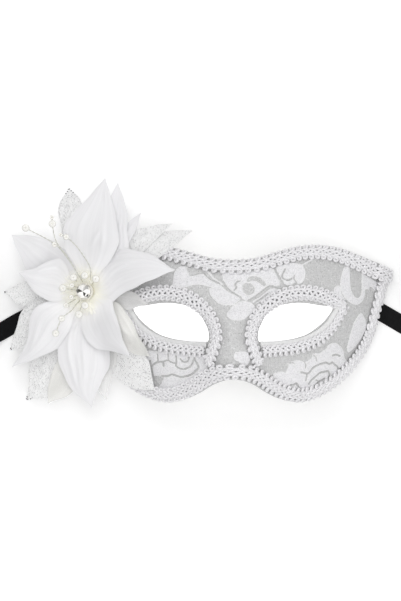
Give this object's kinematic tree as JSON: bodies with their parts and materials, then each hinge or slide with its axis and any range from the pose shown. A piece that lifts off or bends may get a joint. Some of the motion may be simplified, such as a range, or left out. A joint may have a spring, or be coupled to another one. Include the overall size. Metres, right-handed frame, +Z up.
{
  "type": "lace eye mask",
  "caption": "Lace-covered half mask for the eyes, edged with scroll braid, with a fabric flower on one temple and satin ties.",
  "frame": {"origin": "middle of the underside of the mask and flower as the mask lies face up on its side rims, without the free ties", "axes": "+Z up out of the mask's front, +X across the mask to the viewer's right, +Y towards the brow"},
  "size_m": [0.3661, 0.1298, 0.0603],
  "materials": {
    "cloth": "silver-grey glitter cloth under white floral lace",
    "braid": "white twisted scroll braid",
    "satin": "soft white fibrous satin",
    "glitter": "white mesh with silver glitter",
    "sheer": "sheer white organza",
    "core": "white felt and thread",
    "metal": "polished silver setting",
    "crystal": "clear faceted stone",
    "pearl": "cream pearl lacquer",
    "ribbon": "black satin ribbon"
  },
  "bodies": {
    "root": {"mask_shell": "cloth", "braid_lower_edge": "braid", "braid_top_edge": "braid", "braid_right_eye_upper": "braid", "braid_right_eye_lower": "braid", "braid_left_eye_upper": "braid", "braid_left_eye_lower": "braid", "satin_petal_top": "satin", "satin_petal_top_back": "satin", "satin_petal_small": "satin", "satin_petal_right": "satin", "satin_petal_lower_right": "satin", "satin_petal_bottom": "satin", "satin_petal_lower_left": "satin", "satin_petal_left": "satin", "satin_petal_left_back": "satin", "glitter_leaf_top": "glitter", "glitter_leaf_right": "glitter", "glitter_leaf_right_back": "glitter", "glitter_leaf_left": "glitter", "glitter_leaf_lower_left": "glitter", "glitter_leaf_bottom": "glitter", "sheer_petal_bottom_left": "sheer", "sheer_petal_right": "sheer", "sheer_petal_cheek": "sheer", "sheer_petal_lower_cheek": "sheer", "sheer_petal_bottom": "sheer", "flower_core": "core", "stone_setting": "metal", "rhinestone": "crystal", "pearl_stamen_1": "pearl", "pearl_stamen_2": "pearl", "pearl_stamen_3": "pearl", "pearl_stamen_4": "pearl", "pearl_stamen_5": "pearl", "pearl_stamen_6": "pearl", "pearl_stamen_7": "pearl", "pearl_stamen_8": "pearl", "pearl_stamen_9": "pearl", "pearl_sprig_long": "pearl", "pearl_sprig_upright": "pearl", "pearl_sprig_inner": "pearl", "pearl_sprig_lower": "pearl", "ribbon_tab_right": "ribbon", "ribbon_right": "ribbon", "ribbon_roll_right": "ribbon", "ribbon_tab_left": "ribbon", "ribbon_left": "ribbon", "ribbon_roll_left": "ribbon"}
  },
  "joints": []
}
